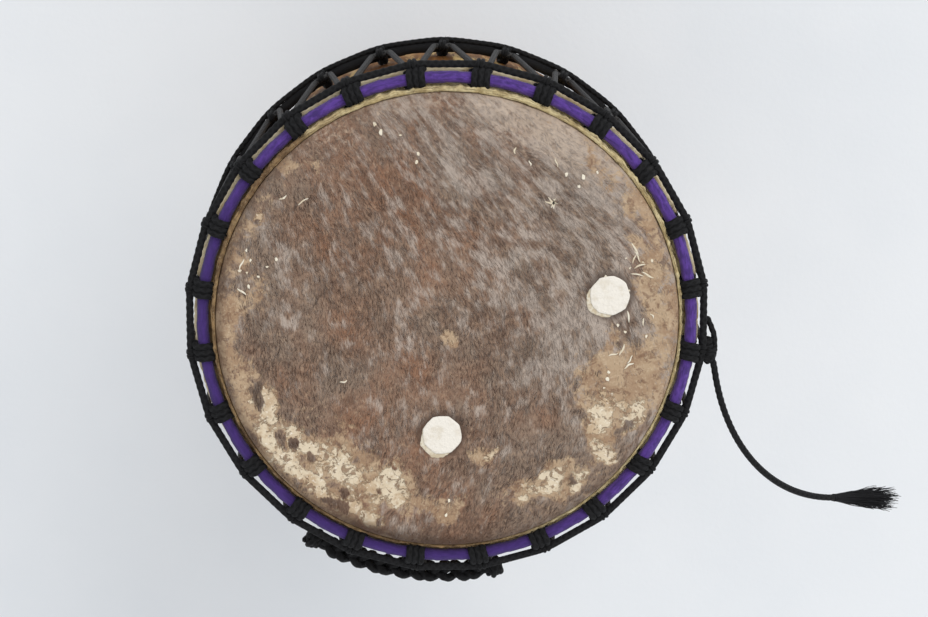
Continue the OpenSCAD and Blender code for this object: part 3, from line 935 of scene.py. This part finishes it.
def rope_eyes(r, z, out, up, cord_r, phase):
    """Two turns at each loop that hold the tuning rope. Out and up are half the eye's width and height."""
    parts = []
    for k in range(LOOPS):
        a = loop_step * k + phase
        path = []
        for s in np.linspace(0, 1, 48):
            phi = TURN * 2.1 * s + 1.9
            side = (s - 0.5) * 2 * TURN_SHARE * cord_r
            path.append(beside(r + out * math.cos(phi), a, z + up * math.sin(phi), side))
        parts.append(rope(path, cord_r, passes=2))
    return parts


def make_ropes():
    """The loops and straight runs on both rings, and the tuning rope that zig-zags between them."""
    wind = crown_tube + rope_r + 0.5
    # Where the tuning rope turns: top is outside and below the crown ring, bottom above the lower ring
    top, top_z = crown_r + 9.3, crown_z - 7
    run = rope(polygon_run(crown_r + 9.8, crown_z - 0.8, 4.0), 2.65, closed=True)
    eyes = rope_eyes(top + 0.4, crown_z - 3.6, 2.5, 5.8, 1.5, loop_step / 2)
    parts = [run] + ring_knots(crown_r, crown_z, 3, rope_r, wind, loop_step / 2) + eyes
    build("crown_loops", join(parts), CORD, replaces="crown_loop_rope")
    wind = lower_tube + squeezed_r + 0.35
    bottom, bottom_z = lower_r + 1.9, lower_z + 9.6
    a = np.arange(720) / 2
    run_r = lower_r + lower_tube + 1.7 + 0.3 * np.cos(np.radians(a * LOOPS))
    run = rope(polar(run_r, a, lower_z + 0.2), 2.0, passes=2, closed=True)
    eyes = rope_eyes(bottom + 0.2, bottom_z - 2.5, 2.8, 5.2, 1.3, 0.0)
    parts = [run] + ring_knots(lower_r, lower_z, 2, squeezed_r, wind, 0.0) + eyes
    build("lower_loops", join(parts), CORD, replaces="lower_loop_rope")
    path = []
    for k in range(LOOPS):
        a, b = loop_step * (k + 0.5), loop_step * (k + 1)
        sag = rng.normal(0, 0.35, 4)
        path.append(beside(top, a, top_z + sag[0], -6))
        path.append(beside(top, a, top_z + 0.6, 0))
        path.append(beside(top, a, top_z + sag[1], 6))
        path.append(beside(bottom, b, bottom_z + 0.4 + sag[2] / 2, -6.8))
        path.append(beside(bottom, b, bottom_z, 0))
        path.append(beside(bottom, b, bottom_z + 0.4 + sag[3] / 2, 6.8))
    # The tuning rope takes the lighter cord: wear together with painted light.
    build("tuning_zigzag", rope(path, passes=5, closed=True), WORN_AND_LIT_CORD, replaces="tuning_rope")


def make_cord_fuzz():
    """Loose ends of fibre that stand off the knots on both rings."""
    roots, tips = [], []
    rings = ((crown_r, crown_z, 9.0, loop_step / 2), (lower_r, lower_z, 6.9, 0.0))
    for ring_r, ring_z, knot_r, phase in rings:
        for k in range(LOOPS):
            count = 16
            phi = rng.uniform(-0.5, 2.6, count)
            a = np.radians(loop_step * k + phase) + rng.uniform(-5, 5, count) / ring_r
            out = np.stack([np.cos(phi) * np.cos(a), np.cos(phi) * np.sin(a), np.sin(phi)], -1)
            root = polar(ring_r, np.degrees(a), np.full(count, ring_z)) + out * (knot_r - 1.0)
            roots.append(root)
            tips.append(root + out * rng.uniform(1.4, 2.6, (count, 1)) + rng.normal(0, 0.8, (count, 3)))
    root, tip = np.concatenate(roots), np.concatenate(tips)
    side = unit(np.cross(tip - root, rng.normal(0, 1, root.shape)))
    build("cord_fuzz", spindles(root, tip, rng.uniform(0.16, 0.3, len(root)), side), CORD)


def coil(centre, axis, wind_r, turns, rise):
    """Turns of rope round an axis through centre."""
    axis = unit(np.array(axis, float))
    side = unit(np.cross(axis, (0.3, 0.2, 1.0) if abs(axis[2]) < 0.9 else (1.0, 0.0, 0.0)))
    other = np.cross(axis, side)
    path = []
    for s in np.linspace(0, 1, int(turns * 24)):
        phi = TURN * turns * s
        out = side * math.cos(phi) + other * math.sin(phi)
        path.append(centre + wind_r * out + axis * rise * (s - 0.5))
    return path


def outward(points):
    """Direction away from the drum's axis."""
    return unit(points * (1, 1, 0))


def make_knot(name, node, body):
    """A bulky round knot: turns about an upright axis, with turns crossing over them."""
    centre = centre_mm(node)
    out = outward(centre)
    along = np.cross((0.0, 0.0, 1.0), out)
    parts = [
        rope(coil(centre, (0, 0, 1), 4.3, 3.2, 2.2 * TURN_SHARE * rope_r)),
        rope(coil(centre, unit(along + 0.5 * out), 6.6, 1.3, 5.0)),
        rope(coil(centre, unit(along - 0.6 * out), 6.2, 1.2, 4.0)),
        rope(coil(centre, (0, 0, 1), 0.9, 3.0, 14.0), rope_r * 1.2),
    ]
    build(name, join(parts), CORD, body, replaces=node)


def make_spare_rope():
    """The spare rope, plaited up on itself between its two knots."""
    pitch, wide, high = 31.0, 4.7, 4.4
    begin = centre_mm("spare_rope_knot")
    end = centre_mm("braid_end_knot")
    radius = np.hypot(*begin[:2])
    a0 = math.degrees(math.atan2(begin[1], begin[0])) % 360
    a1 = math.degrees(math.atan2(end[1], end[0])) % 360
    parts = []
    s = np.linspace(0, 1, 420)
    a = a0 + (a1 - a0) * s
    length = math.radians(a1 - a0) * radius
    ends = np.clip(np.minimum(s, 1 - s) * 8, 0.12, 1)
    for k in range(3):
        uneven = 0.06 * math.sin(2 * k) + 0.035 * np.sin(s * 31 + 2.1 * k)
        phase = TURN * (s * length / pitch + k / 3 + uneven * ends)
        r = radius + wide * np.sin(phase) * ends
        z = begin[2] + high * np.sin(2 * phase) * ends
        parts.append(rope(polar(r, a, z), rope_r * 1.42, passes=2))
    build("spare_plait", join(parts), CORD, "spare_rope", replaces="spare_rope_braid")
    make_knot("plait_start_knot", "spare_rope_knot", "drum")
    make_knot("plait_end_knot", "braid_end_knot", "spare_rope")


def arc_of(node):
    """Centre line of a bent cord: centre, two directions in its plane, radius and the angles of its ends."""
    points = points_mm(node)
    middle = points.mean(0)
    plane = np.linalg.svd(points - middle, full_matrices=False)[2]
    flat = (points - middle) @ plane[:2].T
    fit = np.linalg.lstsq(np.c_[2 * flat, np.ones(len(flat))], (flat**2).sum(1), rcond=None)[0]
    radius = math.sqrt(fit[2] + fit[0] ** 2 + fit[1] ** 2)
    centre = middle + fit[:2] @ plane[:2]
    turned = flat - fit[:2]
    mean = math.atan2(*turned.mean(0)[::-1])
    angle = (np.arctan2(turned[:, 1], turned[:, 0]) - mean + math.pi) % TURN - math.pi + mean
    return centre, plane[0], plane[1], radius, angle.min(), angle.max()


def make_tail():
    """The loose tail of cord, the knot it is tied with and its frayed end."""
    centre, ex, ey, radius, low, high = arc_of("tail_cord")
    hitch = centre_mm("tail_hitch")
    a = np.linspace(low, high, 160)[:, None]
    line = centre + radius * (ex * np.cos(a) + ey * np.sin(a))
    if np.linalg.norm(line[0] - hitch) > np.linalg.norm(line[-1] - hitch):
        line = line[::-1]
    heading = unit(line[-1] - line[-4])
    path = np.vstack([hitch + (0, 0, 2.0), hitch + (line[0] - hitch) * 0.5, line, line[-1] + 5.0 * heading])
    build("tail_cord_braid", rope(path, rope_r * 1.12), CORD, "tail", replaces="tail_cord")
    out = outward(hitch)
    along = np.cross((0.0, 0.0, 1.0), out)
    core = hitch - out * 3.2 + along * 3.0
    strand = [(27, -6.5), (21, -2.6), (15, 1.0), (7, 2.8), (0, 3.2), (-6, 2.4)]
    parts = [
        rope(coil(core, (0, 0, 1), 2.7, 3.2, 2.3 * TURN_SHARE * rope_r)),
        rope(coil(core - out * 0.6 + along * 1.5, unit(along), 4.3, 2.2, 8.0)),
        rope(coil(core - out * 1.4 - along * 2.0, unit(along + 0.5 * out), 4.0, 1.6, 5.0)),
        rope(coil(core + along * 7 - out * 3.0, unit(along - 0.3 * out), 3.4, 2.2, 8.0)),
        rope([core + along * l + out * o - (0, 0, 0.04 * l) for l, o in strand]),
        rope([core - along * 4, hitch - along * 1.0, hitch + (0, 0, 1.0)]),
    ]
    build("tail_knot", join(parts), CORD, "drum", replaces="tail_hitch")
    make_tassel(line[-1] + 3.0 * heading, heading)


def make_tassel(root, along):
    """The unravelled end of the tail: yarns that spread, each with a slight curl."""
    low, high = box_mm("tail_tassel")
    length = np.linalg.norm(high - low) * 0.88
    side = unit(np.cross(along, (0.0, 0.0, 1.0)))
    other = np.cross(side, along)
    parts = []
    strands, steps, sides = 300, 13, 4
    for _ in range(strands):
        spread, turn = math.sqrt(rng.random()), rng.random() * TURN
        yarn = length * rng.uniform(0.72, 1.06)
        s = np.linspace(0, 1, steps)[:, None]
        wide = 1.7 + 6.0 * s**0.8
        curl = rng.normal(0, 1.5, (2, 1)) * s.T**1.5
        curl = curl + 0.5 * np.sin(s.T * rng.uniform(6, 14) + rng.random() * TURN) * s.T
        x = (spread * math.cos(turn) * wide.T + curl[0]).T
        y = (spread * math.sin(turn) * wide.T + curl[1]).T
        path = root - along * 1.5 + along * yarn * s + side * x + other * y
        thick = rng.uniform(0.26, 0.48) * (1 - 0.6 * s**2)
        fside, fother = across(path, False)
        a = TURN * np.arange(sides) / sides
        ring = fside[:, None] * np.cos(a)[None, :, None] + fother[:, None] * np.sin(a)[None, :, None]
        parts.append(capped(path[:, None] + thick[:, :, None] * ring, flip=True))
    band = rope(coil(root + along * 1.0, along, rope_r * 0.9 + 0.5, 2.5, 4.0), 0.8, passes=1)
    build("tail_fibres", join(parts + [band]), FRAYED, "tassel", replaces="tail_tassel")


# ---------------------------------------------------------------- shell

def shell_profile():
    """Outline read by rays from outside and from the axis."""
    shell = nodes["shell"]
    top = shell_points[:, 2].max()
    rim_low = top - 9
    zs = np.concatenate([np.linspace(0.3, rim_low, 230), np.linspace(rim_low, top - 0.05, 12)[1:]])
    outside, inside = [], []
    a = math.radians(2.0)
    away = Vector((math.cos(a), math.sin(a), 0))
    for z in zs:
        axis = Vector((0, 0, z * MM))
        place = shell.ray_cast(axis + away * (400 * MM), -away)[1]
        outside.append(math.hypot(place.x, place.y) / MM)
        place = shell.ray_cast(axis, away)[1]
        inside.append(math.hypot(place.x, place.y) / MM)
    return zs, np.array(outside), np.array(inside)


def smoothed(values):
    """The outline without the CAD's steps, and with its foot and rim kept as they are."""
    foot_rows, rim_rows = 3, 14
    out = values.copy()
    for _ in range(40):
        out[1:-1] = out[1:-1] / 2 + (out[2:] + out[:-2]) / 4
    out[:foot_rows] = values[:foot_rows]
    out[-rim_rows:] = values[-rim_rows:]
    return out


def make_shell_wood():
    """The shell, shaved with a blade outside and gouged inside, smooth at its foot and rim."""
    zs, outside, inside = shell_profile()
    outside, inside = smoothed(outside), smoothed(inside)
    spokes = 360
    a = 360 * np.arange(spokes) / spokes
    outer = polar(outside[:, None], a[None, :], zs[:, None])
    inner = polar(inside[::-1, None], a[None, :], zs[::-1, None])
    out_points, in_points = outer.reshape(-1, 3), inner.reshape(-1, 3)
    free = smooth_step(out_points[:, 2], 3, 15) * smooth_step(out_points[:, 2], zs[-1] - 45, zs[-1] - 70)
    shave = 0.55 * noise(out_points * (1, 1, 0.3), 13.0, 71) + 0.35 * rough_noise(out_points, 40.0, 72, 3)
    out_points += outward(out_points) * ((shave + 0.9) * free)[:, None]
    free = smooth_step(in_points[:, 2], 6, 25) * smooth_step(in_points[:, 2], zs[-1] - 20, zs[-1] - 60)
    gouge = -1.7 * np.abs(noise(in_points * (1, 1, 0.45), 15.0, 73))
    gouge = gouge + 0.5 * rough_noise(in_points, 50.0, 74, 3)
    in_points -= outward(in_points) * ((gouge - 0.2) * free)[:, None]
    points = np.concatenate([outer, inner])
    build("shell_carved", grid(points, True, True, flip=True), WOOD, replaces="shell")


# ---------------------------------------------------------------- patches and flecks

def blob(centre, radius, thick, seed, rough=0.5, rings=16, spokes=96, squash=1.0, sides=0):
    """A thin lump with an uneven outline and a rounded edge, closed underneath."""
    a = TURN * np.arange(spokes) / spokes
    edge = np.stack([np.cos(a), np.sin(a), 0 * a], -1) * radius
    shape = radius + rough * rough_noise(edge + centre[0], radius * 0.55, seed, 4)
    if sides:
        corner = TURN / sides
        shape = shape * (0.4 + 0.6 * math.cos(corner / 2) / np.cos((a + seed) % corner - corner / 2))
    s = np.concatenate([np.linspace(0.06, 0.9, rings), [0.95, 0.985, 1.0, 1.0]])
    h = np.concatenate([np.full(rings, 1.0), [0.93, 0.75, 0.45, 0.0]])
    r = s[:, None] * shape[None, :]
    x, y = centre[0] + r * np.cos(a), centre[1] + r * np.sin(a) * squash
    z = centre[2] + thick * h[:, None] + 0 * r
    points = np.stack([x, y, z], -1)
    flat_points = points.reshape(-1, 3)
    top = np.repeat(h > 0.6, spokes)
    flat_points[:, 2] += top * 0.12 * thick * rough_noise(flat_points, 2.2, seed + 9, 3)
    return capped(points)


def make_patches():
    """Each disc, with an outline of nine or eight corners, and the old glue beside it."""
    for i, name in enumerate(PATCHES):
        low, high = box_mm(name)
        centre = (low + high) / 2
        radius = (high[0] - low[0]) / 2
        centre[2] = low[2] + 0.02
        part = blob(centre, radius + 0.1, high[2] - low[2] - 0.1, 81 + i, 0.4, sides=9 - i)
        build(name + "_disc", part, PATCH, replaces=name)
        glue = centre_mm(name + "_glue")
        glue[2] = head_z - 0.3
        part = blob(glue, radius - 1.1, 0.52, 91 + i, 1.5)
        build(name + "_old_glue", part, GLUE, replaces=name + "_glue")


# Groups of small bare marks: direction and distance of the middle, how far they scatter from it, and how many
# dots and scratches there are. Distances are shares of the head's radius.
FLECK_GROUPS = [
    (105, 0.80, 0.08, 5, 0), (165, 0.88, 0.07, 8, 2), (140, 0.90, 0.03, 0, 2), (60, 0.85, 0.05, 0, 3),
    (45, 0.85, 0.04, 4, 0), (20, 0.84, 0.06, 6, 6), (0, 0.84, 0.05, 3, 3), (345, 0.80, 0.05, 3, 4),
    (270, 0.85, 0.06, 2, 0), (205, 0.55, 0.05, 0, 1),
]
STAR_DIRECTION, STAR_DISTANCE = 50, 0.70
FLECK_LOW, FLECK_HEIGHT = head_z - 0.2, 0.42


def scratch(middle, heading, length):
    """A thin raised line with pointed ends and a slight bend."""
    along = polar(1.0, heading, 0.0)
    side = polar(1.0, heading + 90, 0.0)
    s = np.linspace(0, 1, 12)[:, None]
    bend = 0.5 * np.sin(s * rng.uniform(3, 7) + rng.random() * 6)
    line = middle + along * length * (s - 0.5) + side * bend
    width = (0.25 + 0.55 * np.sin(math.pi * s)) * rng.uniform(0.75, 1.1)
    top = line + (0, 0, FLECK_HEIGHT)
    corners = [line - side * width, top - side * width * 0.7, top + side * width * 0.7, line + side * width]
    return capped(np.stack(corners, 1))


def fleck_place(direction, distance, spread):
    """A place on the flat of the head, near a group's middle."""
    place = polar(distance * head_r, direction, FLECK_LOW) + rng.normal(0, spread * head_r, 3) * (1, 1, 0)
    place[:2] *= min(1, 0.93 * head_r / np.hypot(*place[:2]))
    return place


def make_flecks():
    """Small bare spots and scratches, where the hide's pale skin shows through the hair."""
    parts = []
    for direction, distance, spread, dots, scratches in FLECK_GROUPS:
        for _ in range(dots):
            place = fleck_place(direction, distance, spread)
            size, squash = rng.uniform(0.7, 1.35), rng.uniform(0.8, 1.6)
            parts.append(blob(place, size, FLECK_HEIGHT, len(parts) + 100, 0.5, 2, 12, squash))
        for _ in range(scratches):
            place = fleck_place(direction, distance, spread)
            parts.append(scratch(place, rng.uniform(0, 180), rng.uniform(4, 10)))
    star = polar(STAR_DISTANCE * head_r, STAR_DIRECTION, FLECK_LOW)
    for k in range(4):
        place = star + rng.normal(0, 1.0, 3) * (1, 1, 0)
        parts.append(scratch(place, 45 * k + rng.normal(0, 8), rng.uniform(6, 10)))
    build("hide_flecks", join(parts), FLECK)


# ---------------------------------------------------------------- loose fibres

def make_fibres():
    """Fibres that lie along the trimmed collar."""
    count = 3400
    a = rng.random(count) * 360
    inner, wide, lip = collar_line(a)
    root = polar(inner + wide * rng.uniform(0.1, 1.0, count), a, lip + rng.uniform(-0.7, 0.3, count))
    along = np.cross((0.0, 0.0, 1.0), outward(root)) * rng.choice((-1.0, 1.0), (count, 1))
    tip = root + along * rng.uniform(1.5, 5.0, (count, 1)) + rng.normal(0, 0.5, (count, 3))
    tip[:, 2] += rng.uniform(0, 0.9, count)
    side = unit(np.cross(tip - root, rng.normal(0, 1, (count, 3))))
    part = spindles(root, tip, rng.uniform(0.12, 0.26, count), side)
    # The fibres take the collar's painted shade as well.
    build("hide_fuzz", part, COLLAR, values={"left_shade": collar_left_shade(part[0])})


make_shell_wood()
make_head()
make_hair()
make_collar()
make_wrap()
make_cloth("crown", crown_r, crown_z, crown_tube + 0.2, PURPLE, 62, 201)
make_cloth("lower", lower_r, lower_z, lower_tube - 0.05, BLACK, 60, 202)
make_ropes()
make_cord_fuzz()
make_spare_rope()
make_tail()
make_patches()
make_flecks()
make_fibres()


# ---------------------------------------------------------------- stage, light and camera

def make_floor():
    """A plain floor 18 m across, half a millimetre below the drum's foot."""
    line = np.linspace(-9000.0, 9000.0, 9)
    x, y = np.meshgrid(line, line, indexing="ij")
    part = grid(np.stack([x, y, 0 * x - 0.5], -1))
    build("floor", part, floor_look(), body=None)


def sun(name, towards, spread, strength, colour):
    """A broad, distant soft light that shines from a direction. Spread is in degrees."""
    data = bpy.data.lights.new(name, "SUN")
    data.angle = math.radians(spread)
    data.energy = strength
    data.color = colour
    lamp = add_object(name, data)
    lamp.rotation_mode = "QUATERNION"
    lamp.rotation_quaternion = Vector(towards).to_track_quat("Z", "Y")


def make_camera():
    """Above the head, leaning towards +Y and slightly towards -X. Distance and shifts are in metres."""
    tilt, turn = math.radians(11.9), math.radians(-1.54)
    distance, lens_mm, sensor_mm = 2.2, 122.6, 36
    shift_right, shift_up = 0.0116, 0.00755
    back = Vector((math.sin(turn), math.sin(tilt) * math.cos(turn), math.cos(tilt) * math.cos(turn)))
    right = Vector((0, 1, 0)).cross(back).normalized()
    up = back.cross(right)
    back = right.cross(up)
    lens = bpy.data.cameras.new("camera")
    lens.sensor_width = sensor_mm
    lens.lens = lens_mm
    lens.clip_end = 50
    camera = add_object("camera", lens)
    crown_middle = Vector((0.0, 0.0, crown_z * MM))
    place = crown_middle + back * distance + right * shift_right + up * shift_up
    turned = Matrix((right, up, back)).transposed().to_4x4()
    camera.matrix_world = Matrix.Translation(place) @ turned
    bpy.context.scene.camera = camera


def make_world():
    world = bpy.data.worlds.new("soft_white")
    bpy.context.scene.world = world
    world.use_nodes = True
    background = world.node_tree.nodes["Background"].inputs
    background["Color"].default_value = (0.96, 0.98, 1.0, 1.0)
    background["Strength"].default_value = 0.69


make_floor()
make_world()
sun("key", (1.4, 2.5, 2.6), 42, 1.15, (1.0, 0.985, 0.95))
sun("fill", (0.8, -0.3, 3.0), 70, 0.5, (1.0, 0.985, 0.96))
bpy.context.scene.view_settings.view_transform = "Standard"
make_camera()
